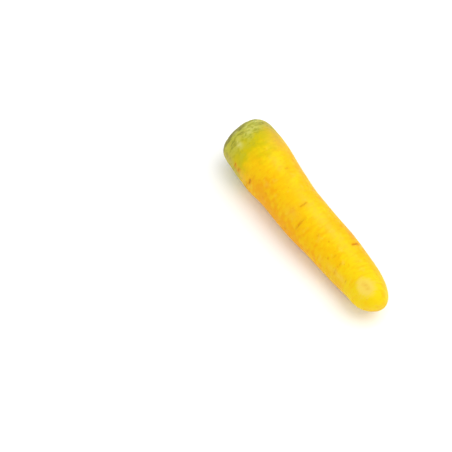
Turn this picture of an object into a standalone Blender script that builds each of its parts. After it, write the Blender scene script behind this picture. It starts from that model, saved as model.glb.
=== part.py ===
"""A topped yellow carrot lying on its side, as one solid root.

Metres, +Z up, with the origin under the middle of the carrot, on the surface it lies on. The crown
points to -X and the tail to +X. The root is turned from a profile, and its points are then moved by
formulas: lumps, skin grooves, leaf bases and tail scar first, and then the bend of its centreline.
Round the root, an angle of 0 is the -Y side, 90 degrees is the top and 270 the underside.
"""

import math
import random

import bmesh
import bpy
import numpy as np

MM = 0.001

# Driving dimensions
ROOT_LENGTH = 164.6 * MM
RADIUS_SHARES = (0.0, 0.14, 0.32, 0.55, 0.78, 1.0)
RADII = np.array((19.1, 19.1, 16.9, 15.5, 13.3, 10.4)) * MM
SIDES = 60

# The bend of the centreline
PITCH = -0.0546
SWEEP = 0.109
WAVE = 0.106
BEND_LENGTH = 47.8 * MM
TAIL_RISE = 0.277
TAIL_TURN = 0.244
CENTRELINE_STEP = 0.25 * MM

# The crown: its face, its round shoulder and how far its top leans back
CROWN_FACE_SHARE = 0.43
SHOULDER_LENGTH = 14 * MM
SHOULDER_POWER = 2.2
SHOULDER_RINGS = 9
CROWN_LEAN = (0.096, 0.242)
LEAN_LENGTH = 30 * MM
FACE_DEPTH = 1.8 * MM
FACE_EDGE = 0.91
FACE_RINGS = 8

# Cut leaf bases on the crown's face: radius of the whorl, how many, height, half thickness
WHORLS = (
    (5.8 * MM, 5, 2.2 * MM, 2.1 * MM),
    (2.5 * MM, 3, 2.3 * MM, 1.9 * MM),
)
WHORL_TURN = 2.4

# Shallow furrows over the crown's crest
CREST_FURROWS = 11
CREST_REACH = 5 * MM
CREST_FURROW_DEPTH = 0.35 * MM

# The tail: a blunt dome that leans up
DOME_LENGTH = 13.9 * MM
DOME_POWER = 2.04
DOME_RINGS = 11
DOME_LEAN = 4.7 * MM

# The oval scar of the thin root end, on top of the tail: a pressed flat, a low rim and a slot
SCAR_FROM_END = 8.8 * MM
SCAR_ANGLE = math.radians(65)
SCAR_HALF_LENGTH = 6.2 * MM
SCAR_HALF_WIDTH = 4.9 * MM
SCAR_FLAT = 0.35 * MM
SCAR_RIM = 0.12 * MM
SCAR_RIM_SHARE = 0.3
SLOT_HALF_LENGTH = 3.6 * MM
SLOT_HALF_WIDTH = 1.5 * MM
SLOT_DEPTH = 0.3 * MM

# Lumps and hollows of the body: station, angle in degrees, height, reach along the root
LUMPS = (
    (11 * MM, 330, -0.9 * MM, 9 * MM),
    (42 * MM, 332, 1.1 * MM, 9 * MM),
    (101 * MM, 330, -0.6 * MM, 11 * MM),
    (129 * MM, 332, 0.35 * MM, 8 * MM),
    (151 * MM, 305, -0.8 * MM, 9 * MM),
    (71 * MM, 150, -0.45 * MM, 12 * MM),
    (113 * MM, 150, 0.65 * MM, 13 * MM),
    (156 * MM, 160, -0.8 * MM, 8 * MM),
    (161 * MM, 236, 1.2 * MM, 7 * MM),
)
LUMP_SPREAD = math.radians(32)
OUT_OF_ROUND = 0.008

# Skin grooves seen from above: station, angle in degrees, half of the groove's width
SEEN_GROOVES = (
    (25.0 * MM, 8, 1.9 * MM),
    (30.0 * MM, 7, 2.0 * MM),
    (37.8 * MM, 338, 2.2 * MM),
    (42.8 * MM, 9, 2.4 * MM),
    (53.8 * MM, 98, 1.3 * MM),
    (83.2 * MM, 76, 2.8 * MM),
    (83.2 * MM, 359, 2.2 * MM),
    (91.5 * MM, 42, 5.6 * MM),
    (105.0 * MM, 55, 1.7 * MM),
    (105.0 * MM, 148, 2.2 * MM),
    (122.6 * MM, 118, 3.0 * MM),
    (122.6 * MM, 51, 1.6 * MM),
    (129.2 * MM, 46, 1.5 * MM),
    (129.2 * MM, 22, 1.8 * MM),
    (141.1 * MM, 25, 1.7 * MM),
)
GROOVE_DEPTH = 0.32 * MM
GROOVE_REACH = 0.8 * MM

# Skin grooves of the far side and the underside, placed by a seeded draw in four rows of side roots
GROOVE_SEED = 17
FAR_ROWS = (178, 212, 252, 300)
FAR_ROW_SPREAD = 11
FAR_HALF_WIDTHS = (1.3 * MM, 3.2 * MM)
FAR_CHANCE = 0.72
FAR_PITCH = 9.5 * MM
FAR_END = 148 * MM
FAR_CENTRE = math.radians(240)
FAR_WANDER = 2.0 * MM
WANDER_LENGTH = 13 * MM
RING_GAP = 6.6 * MM

# Where the root rests: under its shoulder and under its lower half, each pressed flat
REST_SPANS = ((12 * MM, 55 * MM), (88 * MM, 135 * MM))
REST_CUT = 0.35 * MM
ROCKING_STEPS = 6

SKIN_COLOUR = (0.89, 0.50, 0.004, 1.0)
SKIN_ROUGHNESS = 0.45


def smoothstep(share):
    """0 to 1 with level ends."""
    share = np.clip(share, 0, 1)
    return share * share * (3 - 2 * share)


def bell(distance, reach):
    """1 at the middle, fading to nothing past reach."""
    return np.exp(-((distance / reach) ** 2))


def turned_by(angle, middle):
    """The difference of two angles, from -pi to pi."""
    return (angle - middle + math.pi) % (2 * math.pi) - math.pi


def through_knots(at, shares, values):
    """A cubic curve through the knots that never overshoots them."""
    gaps = np.diff(shares)
    slopes = np.diff(values) / gaps
    leaning = np.zeros(len(values))
    for k in range(1, len(values) - 1):
        if slopes[k - 1] * slopes[k] > 0:
            before = 2 * gaps[k] + gaps[k - 1]
            after = gaps[k] + 2 * gaps[k - 1]
            leaning[k] = (before + after) / (before / slopes[k - 1] + after / slopes[k])
    last = (2 * gaps[-1] + gaps[-2]) * slopes[-1] - gaps[-1] * slopes[-2]
    leaning[-1] = last / (gaps[-1] + gaps[-2])
    k = np.clip(np.searchsorted(shares, at, side="right") - 1, 0, len(gaps) - 1)
    t = (at - np.asarray(shares)[k]) / gaps[k]
    return (
        values[k] * (1 + 2 * t) * (1 - t) ** 2
        + gaps[k] * leaning[k] * t * (1 - t) ** 2
        + values[k + 1] * t * t * (3 - 2 * t)
        + gaps[k] * leaning[k + 1] * t * t * (t - 1)
    )


def dome_share(station):
    """0 where the tail's dome starts and 1 at its end."""
    return np.clip(1 - (ROOT_LENGTH - station) / DOME_LENGTH, 0, 1)


def root_radius(station):
    """The turned root's radius, with its round shoulder and the tail's dome."""
    body = through_knots(np.clip(station / ROOT_LENGTH, 0, 1), RADIUS_SHARES, RADII)
    to_crown = np.clip(1 - station / SHOULDER_LENGTH, 0, 1)
    shoulder = (1 - to_crown**SHOULDER_POWER) ** (1 / SHOULDER_POWER)
    shoulder = CROWN_FACE_SHARE + (1 - CROWN_FACE_SHARE) * shoulder
    dome = (1 - dome_share(station) ** DOME_POWER) ** (1 / DOME_POWER)
    return body * shoulder * dome


def spread(starts, widest):
    """The same stations, with more between them, evenly apart, wherever the gap is too wide."""
    filled = []
    for start, end in zip(starts, starts[1:]):
        parts = math.ceil((end - start) / widest)
        filled += [start + (end - start) * k / parts for k in range(parts)]
    return filled + [starts[-1]]


def groove_stations():
    """Where grooves can be: at the seen ones' stations, and between them where there is room."""
    seen = sorted({station for station, _, _ in SEEN_GROOVES})
    return spread(seen + [FAR_END], FAR_PITCH)


def skin_grooves():
    """Every groove as station, angle and half width: the seen ones, and the far side's by a draw."""
    grooves = [(s, math.radians(angle), half) for s, angle, half in SEEN_GROOVES]
    draw = random.Random(GROOVE_SEED)
    for station in groove_stations():
        for row in FAR_ROWS:
            angle = math.radians(row + draw.uniform(-FAR_ROW_SPREAD, FAR_ROW_SPREAD))
            half = draw.uniform(*FAR_HALF_WIDTHS)
            if draw.random() < FAR_CHANCE:
                grooves.append((station, angle, half))
    return grooves


def shoulder_stations():
    """Stations of the shoulder, closer together where it turns in to the crown."""
    turns = np.linspace(0, math.pi / 2, SHOULDER_RINGS + 1)
    return list(SHOULDER_LENGTH * (1 - np.cos(turns)))


def dome_stations():
    """Stations of the tail's dome, closer together towards its end."""
    turns = np.linspace(0, math.pi / 2, DOME_RINGS + 1)
    return list(ROOT_LENGTH - DOME_LENGTH * (1 - np.sin(turns)))


def body_stations():
    """Three rings for each groove's station, and more wherever the gap between rings is wide."""
    rings = [m + side * GROOVE_REACH for m in groove_stations() for side in (-1, 0, 1)]
    return spread([SHOULDER_LENGTH] + rings + [ROOT_LENGTH - DOME_LENGTH], RING_GAP)[1:-1]


def profile_points():
    """The turned profile from the crown's middle out, down the side and in to the tail's end."""
    face_radius = float(root_radius(0.0)) * FACE_EDGE
    points = [(face_radius * k / FACE_RINGS, -FACE_DEPTH) for k in range(FACE_RINGS + 1)]
    stations = shoulder_stations() + body_stations() + dome_stations()
    points += [(float(root_radius(s)), -s) for s in stations[:-1]]
    points.append((0.0, -ROOT_LENGTH))
    return points


def turned_root():
    """The straight root, standing with its crown up: a profile turned round Z."""
    points = profile_points()
    mesh = bpy.data.meshes.new("root_profile")
    edges = [(k, k + 1) for k in range(len(points) - 1)]
    mesh.from_pydata([(x, 0, z) for x, z in points], edges, [])
    profile = bpy.data.objects.new("root_profile", mesh)
    bpy.context.scene.collection.objects.link(profile)
    screw = profile.modifiers.new("Turn", "SCREW")
    screw.steps = SIDES
    screw.render_steps = SIDES
    screw.use_merge_vertices = True
    screw.merge_threshold = 0.00001
    depsgraph = bpy.context.evaluated_depsgraph_get()
    turned = bpy.data.meshes.new_from_object(profile.evaluated_get(depsgraph))
    bpy.data.objects.remove(profile)
    return turned


def tangent(station):
    """The centreline's direction: level but for the tail, which rises and turns to -Y."""
    bend = smoothstep((station - (ROOT_LENGTH - BEND_LENGTH)) / BEND_LENGTH)
    share = station / ROOT_LENGTH
    climb = PITCH + TAIL_RISE * bend
    turn = TAIL_TURN * bend + SWEEP * (2 * share - 1) + WAVE * np.sin(2 * math.pi * share)
    return np.stack(
        [np.cos(climb) * np.cos(turn), -np.cos(climb) * np.sin(turn), np.sin(climb)], axis=-1
    )


def centre(station):
    """The centreline's point, summed from its tangents, with the dome's lean."""
    stations = np.arange(0, ROOT_LENGTH + CENTRELINE_STEP, CENTRELINE_STEP)
    steps = np.diff(stations)[:, None] * (tangent(stations)[1:] + tangent(stations)[:-1]) / 2
    points = np.vstack([np.zeros((1, 3)), np.cumsum(steps, axis=0)])
    along = np.stack([np.interp(station, stations, points[:, k]) for k in range(3)], axis=-1)
    return along + dome_share(station)[:, None] ** 2 * np.array((0, 0, DOME_LEAN))


def across(station):
    """The two directions across the centreline: to the -Y side, and up."""
    ahead = tangent(station)
    side = np.cross(ahead, (0, 0, 1))
    side /= np.linalg.norm(side, axis=1)[:, None]
    return side, np.cross(side, ahead)


def leaf_bases(radius, angle):
    """Height of the cut leaf bases over the crown's face: whorls of short arcs round the middle."""
    height = np.zeros(len(radius))
    for k, (ring, count, tall, half) in enumerate(WHORLS):
        lobe = smoothstep((1 + np.cos(count * (angle - WHORL_TURN * k))) / 2)
        height = np.maximum(height, tall * lobe * bell(radius - ring, half))
    return height


def lumped(station, angle, radius):
    """The radius with the body's lumps and its slightly oval section."""
    for middle, degrees, height, reach in LUMPS:
        near = bell(turned_by(angle, math.radians(degrees)), LUMP_SPREAD)
        radius = radius + height * near * bell(station - middle, reach) * (radius > 0)
    share = station / ROOT_LENGTH
    oval = np.cos(2 * angle - 5 * share) + 0.6 * np.cos(3 * angle + 9 * share)
    return radius * (1 + OUT_OF_ROUND * oval * np.sin(math.pi * share))


def groove_depth(station, angle):
    """How deep the skin's grooves are at a point."""
    depth = np.zeros(len(station))
    girth = np.maximum(root_radius(station), MM)
    for middle, direction, half in skin_grooves():
        aside = turned_by(angle, direction) * girth / half
        lens = np.sqrt(np.clip(1 - aside**2, 0, 1))
        near = np.clip(1 - np.abs(station - middle) / GROOVE_REACH, 0, 1)
        depth = np.maximum(depth, GROOVE_DEPTH * lens * near)
    return depth


def crest_furrows(station, angle):
    """Shallow furrows that run over the crown's crest between the old leaf bases."""
    near = bell(station, CREST_REACH)
    ripple = 0.5 + 0.5 * np.cos(CREST_FURROWS * angle + 1.3 * np.sin(3 * angle))
    return CREST_FURROW_DEPTH * near * ripple**2


def wandered(station, angle):
    """Stations of the far side, shifted a little so that its grooves aren't in straight rings."""
    far = np.clip(np.cos(turned_by(angle, FAR_CENTRE)), 0, 1) ** 2
    body = smoothstep((station - SHOULDER_LENGTH) / FAR_PITCH)
    body = body * smoothstep((ROOT_LENGTH - DOME_LENGTH - station) / FAR_PITCH)
    return station + FAR_WANDER * far * body * np.sin(3 * angle + station / WANDER_LENGTH)


def on_root(station, angle, radius):
    """Points of the bent root, before it is settled on the surface."""
    ahead = tangent(station)
    side, up = across(station)
    c, s = np.cos(angle), np.sin(angle)
    lean = np.clip(1 - station / LEAN_LENGTH, 0, 1) ** 2
    lean = lean * radius * (CROWN_LEAN[0] * c + CROWN_LEAN[1] * s)
    round_it = radius[:, None] * (c[:, None] * side + s[:, None] * up)
    return centre(station) + round_it + lean[:, None] * ahead


def unit(vector):
    """The same direction with a length of one."""
    return vector / np.linalg.norm(vector)


def tail_scar(points):
    """How far the tail's scar moves each point, outwards from the root."""
    station = ROOT_LENGTH - SCAR_FROM_END + np.array((0.0, MM, 0.0))
    angle = SCAR_ANGLE + np.array((0.0, 0.0, 0.05))
    middle, ahead, aside = on_root(station, angle, root_radius(station))
    along = unit(ahead - middle)
    outward = unit(np.cross(along, aside - middle))
    beside = np.cross(outward, along)
    offset = points - middle
    a, b = offset @ along, offset @ beside
    oval = np.hypot(a / SCAR_HALF_LENGTH, b / SCAR_HALF_WIDTH)
    flat = SCAR_FLAT * np.clip(1 - oval**2, 0, 1)
    rim = SCAR_RIM * bell(oval - 1, SCAR_RIM_SHARE)
    slot = SLOT_DEPTH * np.exp(-((a / SLOT_HALF_LENGTH) ** 2) - (b / SLOT_HALF_WIDTH) ** 2)
    on_top = np.abs(offset @ outward) < SCAR_HALF_WIDTH
    return np.where(on_top, rim - flat - slot, 0)[:, None] * outward


def bent(points):
    """The straight root's points, given the carrot's relief and bent along its centreline."""
    station = np.clip(-points[:, 2], 0, ROOT_LENGTH)
    radius = np.hypot(points[:, 0], points[:, 1])
    angle = np.arctan2(points[:, 1], points[:, 0])
    station = wandered(station, angle)
    face = np.isclose(points[:, 2], -FACE_DEPTH) & (radius < root_radius(0.0))
    stubs = np.where(face, leaf_bases(radius, angle), 0)
    sunk = groove_depth(station, angle) + crest_furrows(station, angle)
    girth = lumped(station, angle, radius) - np.where(face | (radius == 0), 0, sunk)
    placed = on_root(station, angle, girth) - stubs[:, None] * tangent(station)
    return placed + tail_scar(placed)


def lowest(points, span):
    """The lowest point within a span along X."""
    inside = points[(points[:, 0] > span[0]) & (points[:, 0] < span[1])]
    return inside[inside[:, 2].argmin()]


def rocked(points):
    """The root tipped about Y until it rests in both of its spans."""
    for _ in range(ROCKING_STEPS):
        near_crown, near_tail = (lowest(points, span) for span in REST_SPANS)
        gap = near_tail - near_crown
        tip = math.atan2(gap[2], gap[0])
        x, z = points[:, 0], points[:, 2]
        turned_x = x * math.cos(tip) + z * math.sin(tip)
        turned_z = z * math.cos(tip) - x * math.sin(tip)
        points = np.stack([turned_x, points[:, 1], turned_z], axis=-1)
    return points


def settled(points):
    """The root at rest: its lowest places pressed flat, and the origin under its middle."""
    points = rocked(points)
    points = points - np.array((0, 0, points[:, 2].min() + REST_CUT))
    points[:, 2] = np.maximum(points[:, 2], 0)
    middle = (points.min(axis=0) + points.max(axis=0)) / 2
    return points - np.array((middle[0], middle[1], 0))


def skin_material():
    """Smooth, faintly waxy yellow skin."""
    material = bpy.data.materials.new("carrot_skin")
    material.use_nodes = True
    shader = material.node_tree.nodes["Principled BSDF"]
    shader.inputs["Base Color"].default_value = SKIN_COLOUR
    shader.inputs["Roughness"].default_value = SKIN_ROUGHNESS
    shader.inputs["Metallic"].default_value = 0.0
    return material


def carrot_root():
    """The carrot: one solid from its crown to its tail."""
    mesh = turned_root()
    mesh.name = "carrot_root"
    points = np.empty(len(mesh.vertices) * 3)
    mesh.vertices.foreach_get("co", points)
    points = settled(bent(points.reshape(-1, 3)))
    mesh.vertices.foreach_set("co", points.ravel())
    work = bmesh.new()
    work.from_mesh(mesh)
    bmesh.ops.triangulate(work, faces=work.faces)
    bmesh.ops.recalc_face_normals(work, faces=work.faces)
    work.to_mesh(mesh)
    work.free()
    mesh.shade_smooth()
    mesh.materials.clear()
    mesh.materials.append(skin_material())
    return bpy.data.objects.new("carrot_root", mesh)


def main():
    for old in list(bpy.data.objects):
        bpy.data.objects.remove(old)
    carrot = bpy.data.collections.new("carrot")
    bpy.context.scene.collection.children.link(carrot)
    carrot.objects.link(carrot_root())


main()
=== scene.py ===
"""A topped yellow carrot: its skin and cut leaf stalks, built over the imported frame, and a studio.

Metres, +Z up. The crown points to -X and the tail to +X. A point of the skin is named by its
station, the distance along the root from the crown, and its angle round the root: 0 is the -Y
side, 90 degrees is the top and 270 the underside.
"""

import math
import random

import bmesh
import bpy
import numpy as np
from bpy.props import FloatProperty, FloatVectorProperty, PointerProperty
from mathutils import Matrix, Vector, noise


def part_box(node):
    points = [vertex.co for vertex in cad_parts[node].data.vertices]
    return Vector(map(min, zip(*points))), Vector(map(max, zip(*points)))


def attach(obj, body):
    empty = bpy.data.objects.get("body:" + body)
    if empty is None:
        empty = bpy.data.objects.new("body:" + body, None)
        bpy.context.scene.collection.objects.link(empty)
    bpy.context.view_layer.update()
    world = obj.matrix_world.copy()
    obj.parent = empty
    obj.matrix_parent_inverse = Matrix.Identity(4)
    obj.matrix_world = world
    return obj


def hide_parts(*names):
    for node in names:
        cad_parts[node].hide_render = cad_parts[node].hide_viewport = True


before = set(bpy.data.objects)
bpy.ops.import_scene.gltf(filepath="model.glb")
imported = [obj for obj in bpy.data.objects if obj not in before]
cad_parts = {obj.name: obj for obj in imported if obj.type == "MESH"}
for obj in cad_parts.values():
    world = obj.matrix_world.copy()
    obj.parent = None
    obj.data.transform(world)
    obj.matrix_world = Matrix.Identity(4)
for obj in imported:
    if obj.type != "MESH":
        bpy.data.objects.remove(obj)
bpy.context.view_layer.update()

bl_info = {
    "name": "Topped yellow carrot",
    "version": (1, 0, 0),
    "blender": (4, 5, 0),
    "location": "View3D > Sidebar > Carrot",
    "description": "Builds a carrot's skin and leaf stalks over its frame, and a plain studio",
    "category": "Add Mesh",
}

MM = 0.001

# The root's taper: shares of its length and the radius at each
RADIUS_SHARES = (0.0, 0.14, 0.32, 0.55, 0.78, 1.0)
RADII = np.array((19.1, 19.1, 16.9, 15.5, 13.3, 10.4)) * MM

# The bend of the centreline
PITCH = -0.0546
SWEEP = 0.109
WAVE = 0.106
BEND_LENGTH = 47.8 * MM
TAIL_RISE = 0.277
TAIL_TURN = 0.244
CENTRELINE_STEP = 0.25 * MM

# The crown: its face, its round shoulder and how far its top leans back
CROWN_FACE_SHARE = 0.43
SHOULDER_LENGTH = 14 * MM
SHOULDER_POWER = 2.2
CROWN_LEAN = (0.096, 0.242)
LEAN_LENGTH = 30 * MM
FACE_DEPTH = 1.8 * MM
FACE_EDGE = 0.91

# Cut leaf bases on the crown's face: radius of the whorl, how many, height, half thickness
WHORLS = (
    (5.8 * MM, 5, 2.2 * MM, 2.1 * MM),
    (2.5 * MM, 3, 2.3 * MM, 1.9 * MM),
)
WHORL_TURN = 2.4

# Cut leaf stalks, by whorl: radius, how many, half of the arc and of the wall, and how far the
# tips curl in
STALK_WHORLS = (
    (6.0 * MM, 5, 2.9 * MM, 1.0 * MM, 1.2 * MM),
    (3.3 * MM, 4, 1.8 * MM, 0.75 * MM, 0.8 * MM),
    (1.0 * MM, 2, 0.9 * MM, 0.5 * MM, 0.2 * MM),
)
STALK_FOOT = 0.4 * MM
STALK_HEIGHTS = (2.7 * MM, 3.3 * MM)
STALK_HOLLOW = 0.25 * MM
STALK_SLANT = 0.3
STALK_ROUGH = 0.2 * MM
STALK_ROUGH_SCALE = 900
STALK_TURN = 0.15
STALK_SIZES = (0.85, 1.1)
STALK_SHARP = math.radians(45)
STALK_SEED = 5

# A stalk's grid, along its arc and across its wall, and how its wall thins towards the tips
STALK_GRID = (14, 6)
TIP_FULLNESS = 2.4
TIP_BLUNTNESS = 0.6
THINNEST_TIP = 0.03
PITH_STEEPNESS = 2.5

# Shallow furrows over the crown's crest
CREST_FURROWS = 11
CREST_REACH = 5 * MM
CREST_FURROW_DEPTH = 0.35 * MM
CREST_FURROW_WAVER = 1.3

# The tail: a blunt dome that leans up
DOME_LENGTH = 13.9 * MM
DOME_POWER = 2.04
DOME_LEAN = 4.7 * MM

# The oval scar of the thin root end, on top of the tail
SCAR_FROM_END = 8.8 * MM
SCAR_ANGLE = math.radians(65)
SCAR_FLAT = 0.35 * MM
SCAR_RIM = 0.12 * MM
SCAR_RIM_SHARE = 0.3
SLOT_HALF_LENGTH = 3.6 * MM
SLOT_HALF_WIDTH = 1.5 * MM

# Lumps and hollows of the body: station, angle in degrees, height, reach along the root
LUMPS = (
    (11 * MM, 330, -0.9 * MM, 9 * MM),
    (42 * MM, 332, 1.1 * MM, 9 * MM),
    (101 * MM, 330, -0.6 * MM, 11 * MM),
    (129 * MM, 332, 0.35 * MM, 8 * MM),
    (151 * MM, 305, -0.8 * MM, 9 * MM),
    (71 * MM, 150, -0.45 * MM, 12 * MM),
    (113 * MM, 150, 0.65 * MM, 13 * MM),
    (156 * MM, 160, -0.8 * MM, 8 * MM),
    (161 * MM, 236, 1.2 * MM, 7 * MM),
)
LUMP_SPREAD = math.radians(32)

# The section: slightly oval and three-sided, both turning along the root
OUT_OF_ROUND = 0.008
OVAL_TURN = 5
THREE_SIDED = 0.6
THREE_SIDED_TURN = 9

# Skin grooves seen from above: station, angle in degrees, half of the width, how brown
SEEN_GROOVES = (
    (25.0 * MM, 8, 1.9 * MM, 0.85),
    (30.0 * MM, 7, 2.0 * MM, 0.9),
    (37.8 * MM, 338, 2.2 * MM, 0.85),
    (42.8 * MM, 9, 2.4 * MM, 1.0),
    (53.8 * MM, 98, 1.3 * MM, 0.55),
    (83.2 * MM, 76, 2.8 * MM, 0.65),
    (83.2 * MM, 359, 2.2 * MM, 0.35),
    (91.5 * MM, 42, 5.6 * MM, 0.5),
    (105.0 * MM, 55, 1.7 * MM, 0.35),
    (105.0 * MM, 148, 2.2 * MM, 0.6),
    (122.6 * MM, 118, 3.0 * MM, 0.75),
    (122.6 * MM, 51, 1.6 * MM, 0.4),
    (129.2 * MM, 46, 1.5 * MM, 0.4),
    (129.2 * MM, 22, 1.8 * MM, 0.5),
    (141.1 * MM, 25, 1.7 * MM, 0.4),
)
GROOVE_REACH = 0.8 * MM

# Skin grooves of the far side and the underside, placed by a seeded draw in four rows
GROOVE_SEED = 17
FAR_ROWS = (178, 212, 252, 300)
FAR_ROW_SPREAD = 11
FAR_HALF_WIDTHS = (1.3 * MM, 3.2 * MM)
FAR_TONES = (0.3, 0.95)
FAR_CHANCE = 0.72
FAR_PITCH = 9.5 * MM
FAR_END = 148 * MM
FAR_CENTRE = math.radians(240)
FAR_WANDER = 2.0 * MM
WANDER_LENGTH = 13 * MM

# Soft patches of the skin by their tone: station, angle in degrees, reach along the root, spread
# in degrees, and the share of the tone in the middle
PATCHES = {
    "peach": (
        (17 * MM, 122, 12 * MM, 20, 0.8),
        (30 * MM, 117, 8 * MM, 18, 0.6),
        (34 * MM, 2, 6 * MM, 10, 0.45),
        (82 * MM, 45, 6 * MM, 14, 0.3),
        (114 * MM, 142, 14 * MM, 16, 0.5),
        (131 * MM, 350, 9 * MM, 16, 0.45),
        (70 * MM, 215, 15 * MM, 25, 0.5),
        (30 * MM, 250, 12 * MM, 30, 0.4),
    ),
    # Pale dry patches; the two along the top, near 86 and 88 degrees, are a painted highlight
    "wax_and_highlight": (
        (100 * MM, 88, 30 * MM, 12, 0.45),
        (132 * MM, 22, 10 * MM, 9, 0.6),
        (48 * MM, 86, 8 * MM, 10, 0.35),
        (90 * MM, 200, 20 * MM, 14, 0.4),
        (60 * MM, 285, 16 * MM, 12, 0.4),
    ),
    "tan": (
        (15 * MM, 2, 7 * MM, 13, 0.75),
        (28 * MM, 356, 7 * MM, 10, 0.5),
        (13 * MM, 134, 5 * MM, 15, 0.65),
        (12 * MM, 310, 6 * MM, 18, 0.5),
        (11 * MM, 205, 6 * MM, 16, 0.5),
    ),
    "bloom": (
        (6.9 * MM, 57, 0.9 * MM, 9, 1.0),
        (10 * MM, 82, 2.2 * MM, 8, 0.6),
        (14.5 * MM, 84, 3.0 * MM, 13, 0.75),
        (18.5 * MM, 46, 4.0 * MM, 7, 0.8),
        (9 * MM, 104, 3.0 * MM, 9, 0.7),
        (14 * MM, 150, 4.0 * MM, 12, 0.5),
        (16 * MM, 190, 4.0 * MM, 10, 0.5),
        (13 * MM, 330, 4.0 * MM, 10, 0.4),
    ),
    "bark": (
        (8.5 * MM, 71, 3.0 * MM, 8, 0.85),
        (12.8 * MM, 66, 1.8 * MM, 9, 0.4),
        (12.8 * MM, 111, 1.5 * MM, 13, 0.55),
        (14 * MM, 37, 5.0 * MM, 12, 0.25),
        (8 * MM, 170, 2.6 * MM, 12, 0.5),
        (10 * MM, 225, 2.4 * MM, 10, 0.55),
        (7 * MM, 290, 3.0 * MM, 12, 0.6),
    ),
    "rust": (
        (29.1 * MM, 2, 1.2 * MM, 4, 0.35),
        (31.0 * MM, 12, 0.8 * MM, 6, 0.35),
        (41.0 * MM, 353, 1.2 * MM, 6, 0.7),
        (44.6 * MM, 24, 0.9 * MM, 8, 0.7),
        (57.4 * MM, 60, 0.9 * MM, 4, 0.5),
        (57.0 * MM, 37, 0.9 * MM, 5, 0.5),
        (59.3 * MM, 24, 1.6 * MM, 4, 0.5),
        (58.3 * MM, 9, 1.0 * MM, 5, 0.6),
        (71 * MM, 30, 1.0 * MM, 5, 0.4),
        (97 * MM, 20, 1.2 * MM, 4, 0.4),
        (113 * MM, 65, 0.8 * MM, 3, 0.5),
        (120 * MM, 35, 1.0 * MM, 4, 0.55),
        (135 * MM, 62, 0.8 * MM, 4, 0.4),
        (52 * MM, 205, 1.2 * MM, 6, 0.6),
        (88 * MM, 170, 1.0 * MM, 5, 0.6),
        (64 * MM, 265, 1.2 * MM, 6, 0.6),
        (109 * MM, 235, 1.2 * MM, 5, 0.6),
        (36 * MM, 300, 1.2 * MM, 6, 0.6),
    ),
}

# The green shoulder: how far it reaches, and how much further on one side
GREEN_REACH = 34 * MM
GREEN_LOPSIDE = 7 * MM
GREEN_SIDE = math.radians(35)

# The dark crest of the crown, lower and darker on one side, with a ragged lower edge
CREST_EDGE = 7.0 * MM
CREST_LOPSIDE = 2.4 * MM
CREST_FADE = 2.4 * MM
CREST_RAGGED = 0.5 * MM
CREST_DARK = 0.3
CREST_SIDE = math.radians(36)
CREST_SPREAD = math.radians(50)

# The brown stain in a groove and the rusty halo round it
STAIN_REACH = 1.1 * MM
HALO_REACH = 2.8 * MM
HALO_WIDER = 0.9 * MM

# Where the body is painted orange yellow as shade: one flank and the back edge
PLAIN_WARMTH = 0.05
FLANK = 68 * MM
FLANK_REACH = 36 * MM
FLANK_ANGLE = math.radians(-8)
FLANK_SPREAD = math.radians(50)
BACK_ANGLE = math.radians(134)
BACK_SPREAD = math.radians(21)
BACK_SHADE = 0.55

# Where it is paler: the top, as a painted highlight, and the end of the shoulder and the tail
TOP_ANGLE = math.radians(85)
TOP_SPREAD = math.radians(30)
TOP_HIGHLIGHT = 0.5
PALE_SHOULDER = 32 * MM
PALE_SHOULDER_REACH = 15 * MM
SHOULDER_PALENESS = 0.4
PALE_TAIL_START = 0.76
PALE_TAIL_FADE = 0.12
TAIL_PALENESS = 0.75

# How much of the green shoulder turns olive: its middle share and how much it changes from top to
# underside
OLIVE_MIDDLE = 0.65
OLIVE_CHANGE = 0.35

# Where the root rests: under its shoulder and under its lower half, each pressed flat
REST_SPANS = ((12 * MM, 55 * MM), (88 * MM, 135 * MM))
REST_CUT = 0.35 * MM
ROCKING_STEPS = 6
TURNS_TRIED = 241
STATIONS_TRIED = 331

# How fine the skin's mesh and its wrinkles are
SKIN_SIDES = 240
FACE_RINGS = 22
SHOULDER_RINGS = 40
DOME_RINGS = 40
RING_GAP = 0.62 * MM
GROOVE_RING_SHARES = (-1.0, -0.6, -0.28, 0.0, 0.28, 0.6, 1.0)
WELD = 0.000001
WRINKLE_SCALE = (520, 75, 75)

# The large soft light: its width and its place, in metres
KEY_SIZE = 0.9
KEY_PLACE = (0.35, 0.25, 0.95)


class CarrotSizes(bpy.types.PropertyGroup):
    root_length: FloatProperty(
        name="Root length",
        description="Length of the root along its bend, from its crown to the end of its tail",
        default=164.6 * MM,
        unit="LENGTH",
    )
    groove_depth: FloatProperty(
        name="Groove depth",
        description="How deep the short grooves across the skin are",
        default=0.28 * MM,
        unit="LENGTH",
    )
    wrinkle_height: FloatProperty(
        name="Wrinkle height",
        description="Height of the skin's fine wrinkles across the root",
        default=0.07 * MM,
        unit="LENGTH",
    )
    scar_half_length: FloatProperty(
        name="Scar half length",
        description="Half of the tail scar's length along the root",
        default=6.2 * MM,
        unit="LENGTH",
    )
    scar_half_width: FloatProperty(
        name="Scar half width",
        description="Half of the tail scar's width across the root",
        default=4.9 * MM,
        unit="LENGTH",
    )
    slot_depth: FloatProperty(
        name="Slot depth",
        description="Depth of the slot in the middle of the tail scar",
        default=0.3 * MM,
        unit="LENGTH",
    )


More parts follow.
